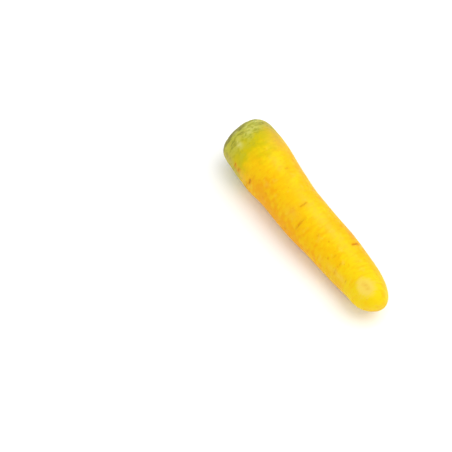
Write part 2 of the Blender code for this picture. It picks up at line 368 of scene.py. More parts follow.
class CarrotColours(bpy.types.PropertyGroup):
    yellow: FloatVectorProperty(
        name="Yellow",
        description="The skin's main colour",
        subtype="COLOR",
        default=(0.80, 0.48, 0.001),
    )
    orange: FloatVectorProperty(
        name="Orange yellow",
        # The skin's deeper tone towards the crown, and the painted shade on one flank and the back
        # edge
        description="The skin's deeper tone on its sides and towards the crown",
        subtype="COLOR",
        default=(0.78, 0.355, 0.0005),
    )
    lemon: FloatVectorProperty(
        name="Lemon yellow",
        # The skin's lighter tone near the tail, and the painted highlight along the top
        description="The skin's lighter tone along the top and near the tail",
        subtype="COLOR",
        default=(0.80, 0.575, 0.0025),
    )
    wax_and_highlight: FloatVectorProperty(
        name="Wax",
        # Pale dry patches of the skin, and the painted highlight along its top
        description="Pale dry patches of the skin",
        subtype="COLOR",
        default=(0.79, 0.57, 0.065),
    )
    peach: FloatVectorProperty(
        name="Peach",
        description="Flushed patches of the skin, by the shoulder and along the edges",
        subtype="COLOR",
        default=(0.70, 0.37, 0.055),
    )
    green: FloatVectorProperty(
        name="Green",
        description="The fresh green of the lower shoulder",
        subtype="COLOR",
        default=(0.52, 0.44, 0.001),
    )
    olive: FloatVectorProperty(
        name="Olive",
        description="The dusty green around the crown",
        subtype="COLOR",
        default=(0.465, 0.46, 0.065),
    )
    bloom: FloatVectorProperty(
        name="Bloom",
        description="The palest dusty patches of the crown",
        subtype="COLOR",
        default=(0.60, 0.60, 0.18),
    )
    moss: FloatVectorProperty(
        name="Moss",
        description="The dark flecks of the green shoulder",
        subtype="COLOR",
        default=(0.28, 0.285, 0.018),
    )
    tan: FloatVectorProperty(
        name="Tan",
        description="Dry brownish patches on the sides of the green shoulder",
        subtype="COLOR",
        default=(0.46, 0.35, 0.09),
    )
    bark: FloatVectorProperty(
        name="Bark",
        description="The dark olive brown of the crown's crest and blotches",
        subtype="COLOR",
        default=(0.13, 0.112, 0.032),
    )
    cork: FloatVectorProperty(
        name="Cork",
        description="The brown floor of the sunken crown",
        subtype="COLOR",
        default=(0.25, 0.185, 0.06),
    )
    rust: FloatVectorProperty(
        name="Rust",
        description="The stain round a groove, and the skin's specks",
        subtype="COLOR",
        default=(0.65, 0.225, 0.002),
    )
    brown: FloatVectorProperty(
        name="Groove brown",
        description="The brown cork in the skin's grooves",
        subtype="COLOR",
        default=(0.40, 0.158, 0.0025),
    )
    scar: FloatVectorProperty(
        name="Scar",
        description="The pale scar on the tail",
        subtype="COLOR",
        default=(0.78, 0.58, 0.09),
    )
    pith: FloatVectorProperty(
        name="Pith",
        description="The pale cut ends of the leaf stalks",
        subtype="COLOR",
        default=(0.56, 0.50, 0.17),
    )
    stalk: FloatVectorProperty(
        name="Leaf stalk",
        description="The sides of the cut leaf stalks on the crown",
        subtype="COLOR",
        default=(0.34, 0.28, 0.08),
    )


class CarrotStudio(bpy.types.PropertyGroup):
    floor_size: FloatProperty(
        name="Floor size",
        description="Width of the floor",
        default=6.0,
        unit="LENGTH",
    )
    floor_colour: FloatVectorProperty(
        name="Floor colour",
        description="Colour of the floor",
        subtype="COLOR",
        default=(0.97, 0.97, 0.97),
    )
    target: FloatVectorProperty(
        name="Target",
        description="The point that the camera looks at",
        subtype="TRANSLATION",
        default=(-29.412 * MM, -40.954 * MM, 0.0),
    )
    azimuth: FloatProperty(
        name="Azimuth",
        description="Where the camera stands round the carrot",
        default=math.radians(59.48),
        unit="ROTATION",
    )
    elevation: FloatProperty(
        name="Elevation",
        description="How far the camera looks down",
        default=math.radians(48),
        unit="ROTATION",
    )
    distance: FloatProperty(
        name="Distance",
        description="How far the camera is from its target",
        default=678.09 * MM,
        unit="LENGTH",
    )
    lens: FloatProperty(
        name="Lens",
        description="The camera's focal length in millimetres",
        default=85.0,
    )
    key_power: FloatProperty(
        name="Key light",
        description="Power of the large soft light above",
        default=3.85,
        unit="POWER",
    )
    world_light: FloatProperty(
        name="Surrounding light",
        description="Strength of the even light from all round",
        default=1.02,
    )


def smoothstep(share):
    """0 to 1 with level ends."""
    share = np.clip(share, 0, 1)
    return share * share * (3 - 2 * share)


def bell(distance, reach):
    """1 at the middle, fading to nothing past reach."""
    return np.exp(-((distance / reach) ** 2))


def turned_by(angle, middle):
    """The difference of two angles, from -pi to pi."""
    return (angle - middle + math.pi) % (2 * math.pi) - math.pi


def unit(vector):
    """The same direction with a length of one."""
    return vector / np.linalg.norm(vector)


def through_knots(at, shares, values):
    """A cubic curve through the knots that never overshoots them."""
    gaps = np.diff(shares)
    slopes = np.diff(values) / gaps
    leaning = np.zeros(len(values))
    for k in range(1, len(values) - 1):
        if slopes[k - 1] * slopes[k] > 0:
            before = 2 * gaps[k] + gaps[k - 1]
            after = gaps[k] + 2 * gaps[k - 1]
            leaning[k] = (before + after) / (before / slopes[k - 1] + after / slopes[k])
    last = (2 * gaps[-1] + gaps[-2]) * slopes[-1] - gaps[-1] * slopes[-2]
    leaning[-1] = last / (gaps[-1] + gaps[-2])
    k = np.clip(np.searchsorted(shares, at, side="right") - 1, 0, len(gaps) - 1)
    t = (at - np.asarray(shares)[k]) / gaps[k]
    return (
        values[k] * (1 + 2 * t) * (1 - t) ** 2
        + gaps[k] * leaning[k] * t * (1 - t) ** 2
        + values[k + 1] * t * t * (3 - 2 * t)
        + gaps[k] * leaning[k + 1] * t * t * (t - 1)
    )


def spread(starts, widest):
    """The same stations, with more between them, evenly apart, wherever the gap is too wide."""
    filled = []
    for start, end in zip(starts, starts[1:]):
        parts = math.ceil((end - start) / widest)
        filled += [start + (end - start) * k / parts for k in range(parts)]
    return filled + [starts[-1]]


def groove_stations():
    """Where grooves can be: at the seen ones' stations, and between them where there is room."""
    seen = sorted({groove[0] for groove in SEEN_GROOVES})
    return spread(seen + [FAR_END], FAR_PITCH)


def skin_grooves():
    """Every groove as station, angle, half width and brownness, with the far side's last."""
    grooves = [(s, math.radians(angle), half, dark) for s, angle, half, dark in SEEN_GROOVES]
    draw = random.Random(GROOVE_SEED)
    tones = random.Random(GROOVE_SEED + 1)
    for station in groove_stations():
        for row in FAR_ROWS:
            angle = math.radians(row + draw.uniform(-FAR_ROW_SPREAD, FAR_ROW_SPREAD))
            half = draw.uniform(*FAR_HALF_WIDTHS)
            if draw.random() < FAR_CHANCE:
                grooves.append((station, angle, half, tones.uniform(*FAR_TONES)))
    return grooves


class Root:
    """The carrot's shape as formulas of station and angle, at rest on the floor."""

    def __init__(self, sizes):
        self.sizes = sizes
        self.length = sizes.root_length
        self.grooves = skin_grooves()
        self.stations = np.arange(0, self.length + CENTRELINE_STEP, CENTRELINE_STEP)
        ways = self.tangent(self.stations)
        steps = np.diff(self.stations)[:, None] * (ways[1:] + ways[:-1]) / 2
        self.line = np.vstack([np.zeros((1, 3)), np.cumsum(steps, axis=0)])
        self.low, self.high = (np.array(corner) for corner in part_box("carrot_root"))
        self.settle()

    def tangent(self, station):
        """The centreline's direction: level but for the tail, which rises and turns to -Y."""
        bend = smoothstep((station - (self.length - BEND_LENGTH)) / BEND_LENGTH)
        share = station / self.length
        climb = PITCH + TAIL_RISE * bend
        turn = TAIL_TURN * bend + SWEEP * (2 * share - 1) + WAVE * np.sin(2 * math.pi * share)
        flat = np.cos(climb)
        return np.stack([flat * np.cos(turn), -flat * np.sin(turn), np.sin(climb)], axis=-1)

    def dome_share(self, station):
        """0 where the tail's dome starts and 1 at its end."""
        return np.clip(1 - (self.length - station) / DOME_LENGTH, 0, 1)

    def centre(self, station):
        """The centreline's point, with the dome's lean."""
        along = [np.interp(station, self.stations, self.line[:, k]) for k in range(3)]
        lean = self.dome_share(station)[:, None] ** 2 * np.array((0, 0, DOME_LEAN))
        return np.stack(along, axis=-1) + lean

    def girth(self, station):
        """The root's radius as if its taper ran on to both ends."""
        return through_knots(np.clip(station / self.length, 0, 1), RADIUS_SHARES, RADII)

    def radius(self, station):
        """The turned root's radius, with its round shoulder and the tail's dome."""
        to_crown = np.clip(1 - station / SHOULDER_LENGTH, 0, 1)
        shoulder = (1 - to_crown**SHOULDER_POWER) ** (1 / SHOULDER_POWER)
        shoulder = CROWN_FACE_SHARE + (1 - CROWN_FACE_SHARE) * shoulder
        dome = (1 - self.dome_share(station) ** DOME_POWER) ** (1 / DOME_POWER)
        return self.girth(station) * shoulder * dome

    def over_skin(self, station, radius):
        """A length along the skin that goes on over the crown's crest and the tail's dome."""
        shrunk = self.girth(station) - radius
        return station + np.where(station > self.length / 2, shrunk, -shrunk)

    def lumped(self, station, angle, radius):
        """The radius with the body's lumps and its slightly oval section."""
        for middle, degrees, height, reach in LUMPS:
            near = bell(turned_by(angle, math.radians(degrees)), LUMP_SPREAD)
            radius = radius + height * near * bell(station - middle, reach) * (radius > 0)
        share = station / self.length
        oval = np.cos(2 * angle - OVAL_TURN * share)
        three_sided = THREE_SIDED * np.cos(3 * angle + THREE_SIDED_TURN * share)
        out_of_round = OUT_OF_ROUND * (oval + three_sided)
        return radius * (1 + out_of_round * np.sin(math.pi * share))

    def wandered(self, station, angle):
        """Stations of the far side, shifted a little so that its grooves aren't in rings."""
        far = np.clip(np.cos(turned_by(angle, FAR_CENTRE)), 0, 1) ** 2
        body = smoothstep((station - SHOULDER_LENGTH) / FAR_PITCH)
        body = body * smoothstep((self.length - DOME_LENGTH - station) / FAR_PITCH)
        return station + FAR_WANDER * far * body * np.sin(3 * angle + station / WANDER_LENGTH)

    def groove_field(self, station, angle, reach, wider, by_tone):
        """1 in the middle of a groove and 0 past its ends, or its brownness if by_tone is set."""
        field = np.zeros(len(station))
        around = np.maximum(self.radius(station), MM)
        for middle, direction, half, dark in self.grooves:
            aside = turned_by(angle, direction) * around / (half + wider)
            lens = np.sqrt(np.clip(1 - aside**2, 0, 1))
            near = np.clip(1 - np.abs(station - middle) / reach, 0, 1)
            field = np.maximum(field, lens * near * (dark if by_tone else 1))
        return field

    def crest_furrows(self, station, angle):
        """Shallow furrows that run over the crown's crest between the old leaf bases."""
        near = bell(station, CREST_REACH)
        wavered = CREST_FURROWS * angle + CREST_FURROW_WAVER * np.sin(3 * angle)
        ripple = 0.5 + 0.5 * np.cos(wavered)
        return CREST_FURROW_DEPTH * near * ripple**2

    def leaf_bases(self, radius, angle):
        """Height of the cut leaf bases over the crown's face."""
        height = np.zeros(len(radius))
        for k, (ring, count, tall, half) in enumerate(WHORLS):
            lobe = smoothstep((1 + np.cos(count * (angle - WHORL_TURN * k))) / 2)
            height = np.maximum(height, tall * lobe * bell(radius - ring, half))
        return height

    def place(self, station, angle, radius):
        """Points of the bent root, before it is laid down."""
        ahead = self.tangent(station)
        side = np.cross(ahead, (0, 0, 1))
        side /= np.linalg.norm(side, axis=1)[:, None]
        up = np.cross(side, ahead)
        c, s = np.cos(angle), np.sin(angle)
        lean = np.clip(1 - station / LEAN_LENGTH, 0, 1) ** 2
        lean = lean * radius * (CROWN_LEAN[0] * c + CROWN_LEAN[1] * s)
        round_it = radius[:, None] * (c[:, None] * side + s[:, None] * up)
        return self.centre(station) + round_it + lean[:, None] * ahead

    def scar_place(self, points):
        """Where points are: along the scar, beside it and whether on top, and the way out of it."""
        station = self.length - SCAR_FROM_END + np.array((0.0, MM, 0.0))
        angle = SCAR_ANGLE + np.array((0.0, 0.0, 0.05))
        middle, ahead, aside = self.place(station, angle, self.radius(station))
        along = unit(ahead - middle)
        outward = unit(np.cross(along, aside - middle))
        beside = np.cross(outward, along)
        offset = points - middle
        on_top = np.abs(offset @ outward) < self.sizes.scar_half_width
        return offset @ along, offset @ beside, on_top, outward

    def scar_marks(self, a, b):
        """How far out from the scar's middle, 1 at its rim, and how far inside its slot."""
        oval = np.hypot(a / self.sizes.scar_half_length, b / self.sizes.scar_half_width)
        slot = np.exp(-((a / SLOT_HALF_LENGTH) ** 2) - (b / SLOT_HALF_WIDTH) ** 2)
        return oval, slot

    def scarred(self, points):
        """The points with the tail scar's flat, rim and slot."""
        a, b, on_top, outward = self.scar_place(points)
        oval, slot = self.scar_marks(a, b)
        flat = SCAR_FLAT * np.clip(1 - oval**2, 0, 1)
        rim = SCAR_RIM * bell(oval - 1, SCAR_RIM_SHARE)
        relief = rim - flat - self.sizes.slot_depth * slot
        return points + np.where(on_top, relief, 0)[:, None] * outward

    def surface(self, station, angle, radius, on_face, raised):
        """Points of the skin before it is laid down; raised is fine relief along the radius."""
        station = self.wandered(station, angle)
        sunk = self.sizes.groove_depth * self.groove_field(station, angle, GROOVE_REACH, 0.0, False)
        sunk = sunk + self.crest_furrows(station, angle)
        girth = self.lumped(station, angle, radius)
        girth = girth + np.where(on_face | (radius == 0), 0, raised - sunk)
        stubs = np.where(on_face, self.leaf_bases(radius, angle), 0)
        points = self.place(station, angle, girth) - stubs[:, None] * self.tangent(station)
        return self.scarred(points)

    def settle(self):
        """Finds how the root tips about Y to rest in both of its spans, and how far it moves."""
        across, along = np.meshgrid(
            np.linspace(-math.pi, math.pi, TURNS_TRIED),
            np.linspace(0, self.length, STATIONS_TRIED),
        )
        station, angle = along.ravel(), across.ravel()
        nowhere = np.zeros(len(station), bool)
        points = self.surface(station, angle, self.radius(station), nowhere, 0.0)
        self.tip = 0.0
        for _ in range(ROCKING_STEPS):
            x, z = self.tipped(points)
            lows = []
            for start, end in REST_SPANS:
                inside = (x > start) & (x < end)
                k = np.flatnonzero(inside)[z[inside].argmin()]
                lows.append((x[k], z[k]))
            self.tip += math.atan2(lows[1][1] - lows[0][1], lows[1][0] - lows[0][0])
        x, z = self.tipped(points)
        sideways = self.high[1] - points[:, 1].max()
        self.shift = np.array((self.high[0] - x.max(), sideways, -z.min() - REST_CUT))

    def tipped(self, points):
        """X and Z of the points, turned about Y by the root's tip."""
        c, s = math.cos(self.tip), math.sin(self.tip)
        return points[:, 0] * c + points[:, 2] * s, points[:, 2] * c - points[:, 0] * s

    def laid_down(self, points):
        """The points at rest on the floor, inside the frame's box."""
        x, z = self.tipped(points)
        moved = np.stack([x, points[:, 1], z], axis=-1) + self.shift
        return np.clip(moved, self.low, self.high)


def skin_profile(root):
    """The skin's turned profile, from the crown's middle down the side to the tail's end."""
    face_radius = float(root.radius(0.0)) * FACE_EDGE
    points = [(face_radius * k / FACE_RINGS, -FACE_DEPTH) for k in range(FACE_RINGS + 1)]
    shoulder_turns = np.linspace(0, math.pi / 2, SHOULDER_RINGS + 1)
    shoulder = list(SHOULDER_LENGTH * (1 - np.cos(shoulder_turns)))
    dome_turns = np.linspace(0, math.pi / 2, DOME_RINGS + 1)
    dome = list(root.length - DOME_LENGTH * (1 - np.sin(dome_turns)))
    rings = [m + GROOVE_REACH * k for m in groove_stations() for k in GROOVE_RING_SHARES]
    body = spread([SHOULDER_LENGTH] + rings + [root.length - DOME_LENGTH], RING_GAP)[1:-1]
    points += [(float(root.radius(s)), -s) for s in (shoulder + body + dome)[:-1]]
    points.append((0.0, -root.length))
    return points


def spun(points, sides):
    """A mesh turned round Z from a profile of radius and height, with its poles closed."""
    work = bmesh.new()
    verts = [work.verts.new((radius, 0, height)) for radius, height in points]
    edges = [work.edges.new(pair) for pair in zip(verts, verts[1:])]
    bmesh.ops.spin(
        work,
        geom=verts + edges,
        cent=(0, 0, 0),
        axis=(0, 0, 1),
        dvec=(0, 0, 0),
        angle=2 * math.pi,
        steps=sides,
        use_merge=True,
        use_duplicate=False,
    )
    bmesh.ops.remove_doubles(work, verts=work.verts, dist=WELD)
    bmesh.ops.recalc_face_normals(work, faces=work.faces)
    return work


def in_order(parts, places):
    """Sorts a bmesh's points or faces by their places, so that their order is the same each run."""
    parts.index_update()
    ranks = np.argsort(np.lexsort(np.array(places).T))
    parts.sort(key=lambda part: float(ranks[part.index]))


def finished(work, name, material):
    """An object in the scene, shaded smooth, with the bmesh's faces."""
    in_order(work.verts, [vert.co for vert in work.verts])
    in_order(work.faces, [face.calc_center_median() for face in work.faces])
    mesh = bpy.data.meshes.new(name)
    work.to_mesh(mesh)
    work.free()
    mesh.shade_smooth()
    mesh.materials.append(material)
    piece = bpy.data.objects.new(name, mesh)
    bpy.context.scene.collection.objects.link(piece)
    return piece


def coordinates(mesh):
    """The mesh's points as rows of three."""
    points = np.empty(len(mesh.vertices) * 3)
    mesh.vertices.foreach_get("co", points)
    return points.reshape(-1, 3)


def painted(mesh, name, values):
    """Stores a number for each point of the mesh, for its material."""
    layer = mesh.attributes.new(name, "FLOAT", "POINT")
    layer.data.foreach_set("value", np.asarray(values, np.float32))


def sprinkled(points, scale):
    """Smooth noise from -1 to 1 at each point, with its features scaled along each axis."""
    return np.array([noise.noise(Vector(point)) for point in points * np.asarray(scale)])


class Recipe:
    """A material's nodes, added and joined in short calls."""

    def __init__(self, name):
        self.material = bpy.data.materials.new(name)
        self.material.use_nodes = True
        self.tree = self.material.node_tree
        self.shader = self.tree.nodes["Principled BSDF"]

    def join(self, value, socket):
        """Sets a socket to a number or colour, or links it to another node's output."""
        if isinstance(value, bpy.types.NodeSocket):
            self.tree.links.new(value, socket)
        elif hasattr(socket.default_value, "__len__"):
            filled = list(value) + [1.0] * (len(socket.default_value) - len(value))
            socket.default_value = filled
        else:
            socket.default_value = value

    def attribute(self, name, output="Fac"):
        """A number or vector stored on the mesh."""
        node = self.tree.nodes.new("ShaderNodeAttribute")
        node.attribute_name = name
        return node.outputs[output]

    def place(self):
        """The piece's own coordinates."""
        return self.tree.nodes.new("ShaderNodeTexCoord").outputs["Object"]

    def scaled(self, vector, scale):
        """Coordinates scaled along each axis."""
        node = self.tree.nodes.new("ShaderNodeMapping")
        self.join(vector, node.inputs["Vector"])
        self.join(scale, node.inputs["Scale"])
        return node.outputs["Vector"]

    def noise(self, vector, scale, detail=2.0, distortion=0.0):
        """Smooth noise around one half."""
        node = self.tree.nodes.new("ShaderNodeTexNoise")
        self.join(vector, node.inputs["Vector"])
        self.join(scale, node.inputs["Scale"])
        self.join(detail, node.inputs["Detail"])
        self.join(distortion, node.inputs["Distortion"])
        return node.outputs["Fac"]

    def stepped(self, value, low, high, start=0.0, end=1.0):
        """Start below low and end above high, with a smooth step between them."""
        node = self.tree.nodes.new("ShaderNodeMapRange")
        node.interpolation_type = "SMOOTHSTEP"
        self.join(value, node.inputs["Value"])
        names = ("From Min", "From Max", "To Min", "To Max")
        for name, number in zip(names, (low, high, start, end)):
            self.join(number, node.inputs[name])
        return node.outputs["Result"]

    def maths(self, kind, first, second):
        """Two numbers put together by a math node of that kind."""
        node = self.tree.nodes.new("ShaderNodeMath")
        node.operation = kind
        self.join(first, node.inputs[0])
        self.join(second, node.inputs[1])
        return node.outputs["Value"]

    def times(self, first, second):
        """The product of two numbers."""
        return self.maths("MULTIPLY", first, second)

    def plus(self, first, second):
        """The sum of two numbers."""
        return self.maths("ADD", first, second)

    def blend(self, share, first, second):
        """The first colour, turning to the second as share goes to 1."""
        node = self.tree.nodes.new("ShaderNodeMix")
        node.data_type = "RGBA"
        sockets = {socket.identifier: socket for socket in node.inputs}
        self.join(share, sockets["Factor_Float"])
        self.join(first, sockets["A_Color"])
        self.join(second, sockets["B_Color"])
        return next(out for out in node.outputs if out.identifier == "Result_Color")

    def bump(self, height, depth, normal=None):
        """A bumped normal; height goes from 0 to 1 over depth, in metres."""
        node = self.tree.nodes.new("ShaderNodeBump")
        self.join(height, node.inputs["Height"])
        self.join(depth, node.inputs["Distance"])
        if normal:
            self.join(normal, node.inputs["Normal"])
        return node.outputs["Normal"]


def skin_material(colours):
    """Yellow skin, with a green shoulder, soft patches, brown grooves and the pale tail scar."""
    skin = Recipe("carrot_skin")
    along_root = skin.attribute("unrolled", "Vector")
    round_root = skin.scaled(along_root, (1.0, 0.6, 0.6))
    mottle = skin.noise(along_root, 60, 3)
    cloud = skin.noise(along_root, 120, 4, 0.4)
    dapple = skin.noise(along_root, 190, 3)
    fleck = skin.noise(round_root, 380, 4, 0.3)
    grain = skin.noise(along_root, 760, 3)
    rings = skin.noise(skin.scaled(along_root, (1.0, 0.12, 0.12)), 520, 2, 0.3)

    # Orange to lemon tone; its orange flank and back edge are painted shade, its lemon top a painted
    # highlight
    warmth_and_shading = skin.plus(skin.attribute("warmth_and_shading"), skin.stepped(mottle, 0.3, 0.7, -0.3, 0.3))
    warmth_and_shading = skin.plus(warmth_and_shading, skin.stepped(fleck, 0.3, 0.7, -0.4, 0.4))
    colour = skin.blend(skin.stepped(warmth_and_shading, -1.0, 0.0), colours.lemon, colours.yellow)
    colour = skin.blend(skin.stepped(warmth_and_shading, 0.0, 1.0), colour, colours.orange)
    # Pale wax patches and, along the top, a painted highlight
    waxy_and_highlight = skin.times(skin.attribute("wax_and_highlight"), skin.stepped(fleck, 0.3, 0.6, 0.4, 1.0))
    waxy_and_highlight = skin.plus(waxy_and_highlight, skin.stepped(dapple, 0.55, 0.78, 0.0, 0.4))
    colour = skin.blend(waxy_and_highlight, colour, colours.wax_and_highlight)
    colour = skin.blend(skin.stepped(rings, 0.55, 0.75, 0.0, 0.3), colour, colours.orange)

    flush = skin.times(skin.attribute("peach"), skin.stepped(cloud, 0.3, 0.62, 0.4, 1.0))
    uneven = skin.stepped(cloud, 0.3, 0.7, -0.12, 0.12)
    uneven = skin.plus(uneven, skin.stepped(fleck, 0.3, 0.7, -0.05, 0.05))
    green = skin.plus(skin.attribute("green"), uneven)
    colour = skin.blend(skin.stepped(green, -0.12, 0.45), colour, colours.green)
    colour = skin.blend(flush, colour, colours.peach)
    olive_part = skin.times(skin.stepped(green, 0.28, 0.78), skin.attribute("olive_toward_top"))
    colour = skin.blend(olive_part, colour, colours.olive)
    mossy = skin.times(skin.stepped(green, 0.2, 0.55), skin.stepped(fleck, 0.34, 0.54, 0.85, 0.0))
    colour = skin.blend(mossy, colour, colours.moss)
    dry = skin.times(skin.attribute("tan"), skin.stepped(fleck, 0.3, 0.6, 0.6, 1.0))
    colour = skin.blend(dry, colour, colours.tan)
    pale = skin.times(skin.attribute("bloom"), skin.stepped(fleck, 0.34, 0.6, 0.2, 1.0))
    colour = skin.blend(pale, colour, colours.bloom)
    blotch = skin.times(skin.attribute("bark"), skin.stepped(fleck, 0.36, 0.6, 1.0, 0.3))
    colour = skin.blend(blotch, colour, colours.bark)
    crest = skin.times(skin.attribute("crest"), skin.stepped(rings, 0.38, 0.58, 1.0, 0.45))
    colour = skin.blend(crest, colour, colours.bark)

    raised = skin.stepped(skin.attribute("stub"), 0.2, 0.9)
    cork = skin.blend(skin.stepped(grain, 0.4, 0.65, 0.2, 0.9), colours.bark, colours.cork)
    cork = skin.blend(skin.times(raised, 0.6), cork, colours.stalk)
    face = skin.attribute("face")
    colour = skin.blend(face, colour, cork)

    halo = skin.plus(skin.attribute("halo"), skin.attribute("rust"))
    halo = skin.times(halo, skin.stepped(fleck, 0.32, 0.6, 1.0, 0.35))
    colour = skin.blend(skin.stepped(halo, 0.0, 0.6, 0.0, 0.8), colour, colours.rust)
    groove = skin.times(skin.attribute("groove"), skin.stepped(grain, 0.3, 0.6, 0.6, 1.1))
    colour = skin.blend(skin.stepped(groove, 0.1, 1.0, 0.0, 0.85), colour, colours.brown)
    specks = skin.stepped(skin.noise(along_root, 800, 1), 0.7, 0.78, 0.0, 0.5)
    specks = skin.times(specks, skin.stepped(green, 0.0, 0.5, 1.0, 0.0))
    colour = skin.blend(specks, colour, colours.rust)

    scar = skin.plus(skin.attribute("scar"), skin.stepped(fleck, 0.3, 0.7, -0.12, 0.12))
    colour = skin.blend(skin.stepped(scar, -0.42, 0.32, 0.0, 0.85), colour, colours.scar)
    slot = skin.times(skin.attribute("slot"), skin.stepped(fleck, 0.35, 0.6, 0.4, 0.15))
    colour = skin.blend(slot, colour, colours.rust)

    shader = skin.shader.inputs
    skin.join(colour, shader["Base Color"])
    dull = skin.plus(skin.stepped(dapple, 0.3, 0.7, 0.38, 0.52), skin.times(face, 0.25))
    skin.join(skin.plus(dull, skin.times(olive_part, 0.1)), shader["Roughness"])
    fine = skin.bump(skin.plus(skin.times(rings, 0.6), skin.times(grain, 0.4)), 0.12 * MM)
    skin.join(fine, shader["Normal"])
    shader["Subsurface Weight"].default_value = 0.15
    shader["Subsurface Radius"].default_value = (1.0, 0.55, 0.1)
    shader["Subsurface Scale"].default_value = 2.5 * MM
    shader["Specular IOR Level"].default_value = 0.06
    return skin.material


def stalk_material(colours):
    """Brown green sides and rims, and pale cut ends with the dots of their fibres."""
    stalk = Recipe("leaf_stalk")
    where = stalk.place()
    fibres = stalk.noise(stalk.scaled(where, (0.15, 1.0, 1.0)), 1400, 2)
    grain = stalk.noise(where, 600, 3)
    colour = stalk.blend(stalk.stepped(grain, 0.4, 0.62), colours.stalk, colours.bark)
    pith = stalk.times(stalk.attribute("pith"), stalk.stepped(grain, 0.35, 0.65, 1.0, 0.7))
    colour = stalk.blend(pith, colour, colours.pith)
    dots = stalk.times(stalk.attribute("pith"), stalk.stepped(fibres, 0.56, 0.66, 0.0, 0.7))
    colour = stalk.blend(dots, colour, colours.stalk)
    stalk.join(colour, stalk.shader.inputs["Base Color"])
    stalk.join(stalk.bump(fibres, 0.15 * MM), stalk.shader.inputs["Normal"])
    stalk.shader.inputs["Roughness"].default_value = 0.7
    stalk.shader.inputs["Specular IOR Level"].default_value = 0.25
    return stalk.material


def green_share(station, angle):
    """1 at the crown, 0 where the green ends, further down on one side, and less past it."""
    reach = GREEN_REACH + GREEN_LOPSIDE * np.cos(turned_by(angle, GREEN_SIDE))
    return np.clip(1 - station / reach, -1, 1)


def crest_shade(station, angle):
    """How dark the crown's crest is: most on the side of the rim, with a ragged lower edge."""
    side = bell(turned_by(angle, CREST_SIDE), CREST_SPREAD)
    ragged = CREST_RAGGED * np.sin(7 * angle) * np.sin(17 * angle + 1.0)
    band = smoothstep((CREST_EDGE + CREST_LOPSIDE * side + ragged - station) / CREST_FADE)
    return band * (CREST_DARK + (1 - CREST_DARK) * side)


def patches(station, angle, places):
    """How far each point is inside a list of soft patches, from 0 to 1."""
    share = np.zeros(len(station))
    for middle, degrees, reach, width, most in places:
        near = bell(turned_by(angle, math.radians(degrees)), math.radians(width))
        share = np.maximum(share, most * near * bell(station - middle, reach))
    return share


def warmth_and_shading(station, angle, length):
    """1 where the skin is orange yellow, 0 where it is yellow and -1 where it is lemon yellow: the
    orange of the flank and back edge is painted shade, the lemon of the top a painted highlight.
    """
    # Painted shade on the flank and the back edge, and a painted highlight on top
    flank = bell(turned_by(angle, FLANK_ANGLE), FLANK_SPREAD) * bell(station - FLANK, FLANK_REACH)
    back = bell(turned_by(angle, BACK_ANGLE), BACK_SPREAD)
    on_top = bell(turned_by(angle, TOP_ANGLE), TOP_SPREAD)
    shoulder = bell(station - PALE_SHOULDER, PALE_SHOULDER_REACH)
    to_tail = smoothstep((station - PALE_TAIL_START * length) / (PALE_TAIL_FADE * length))
    warm_and_shaded = PLAIN_WARMTH + flank + BACK_SHADE * back
    pale = TOP_HIGHLIGHT * on_top + SHOULDER_PALENESS * shoulder + TAIL_PALENESS * to_tail
    return warm_and_shaded - pale


class CARROT_OT_root_skin(bpy.types.Operator):
    """Makes the carrot's skin, from its crown to its tail"""

    bl_idname = "carrot.root_skin"
    bl_label = "Root skin"

    def execute(self, context):
        sizes = context.scene.carrot_sizes
        root = Root(sizes)
        work = spun(skin_profile(root), SKIN_SIDES)
        piece = finished(work, "root_skin", skin_material(context.scene.carrot_colours))
        mesh = piece.data
        turned = coordinates(mesh)
        station = np.clip(-turned[:, 2], 0, root.length)
        radius = np.hypot(turned[:, 0], turned[:, 1])
        angle = np.arctan2(turned[:, 1], turned[:, 0])
        on_face = np.isclose(turned[:, 2], -FACE_DEPTH) & (radius < root.radius(0.0))
        unrolled = np.stack([root.over_skin(station, radius), turned[:, 0], turned[:, 1]], axis=-1)
        raised = sizes.wrinkle_height * sprinkled(unrolled, WRINKLE_SCALE)
        points = root.surface(station, angle, radius, on_face, raised)
        mesh.vertices.foreach_set("co", root.laid_down(points).ravel())

        layer = mesh.attributes.new("unrolled", "FLOAT_VECTOR", "POINT")
        layer.data.foreach_set("vector", unrolled.ravel().astype(np.float32))
        moved = root.wandered(station, angle)
        a, b, on_top, _ = root.scar_place(points)
        oval, slot = root.scar_marks(a, b)
        painted(mesh, "green", green_share(station, angle))
        for tone, places in PATCHES.items():
            painted(mesh, tone, patches(station, angle, places))
        # Orange and lemon tones, with painted shade on the flank and back edge and a painted
        # highlight on top
        painted(mesh, "warmth_and_shading", warmth_and_shading(station, angle, root.length))
        painted(mesh, "groove", root.groove_field(moved, angle, STAIN_REACH, 0.0, True))
        painted(mesh, "halo", root.groove_field(moved, angle, HALO_REACH, HALO_WIDER, True))
        painted(mesh, "crest", crest_shade(station, angle) * (1 - on_face))
        painted(mesh, "olive_toward_top", OLIVE_MIDDLE + OLIVE_CHANGE * np.cos(turned_by(angle, TOP_ANGLE)))
        painted(mesh, "face", on_face)
        painted(mesh, "stub", root.leaf_bases(radius, angle) * on_face / WHORLS[0][2])
        painted(mesh, "scar", np.where(on_top, 1 - oval, -1))
        painted(mesh, "slot", np.where(on_top, slot, 0))
        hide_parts("carrot_root")
        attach(piece, "root")
        return {"FINISHED"}


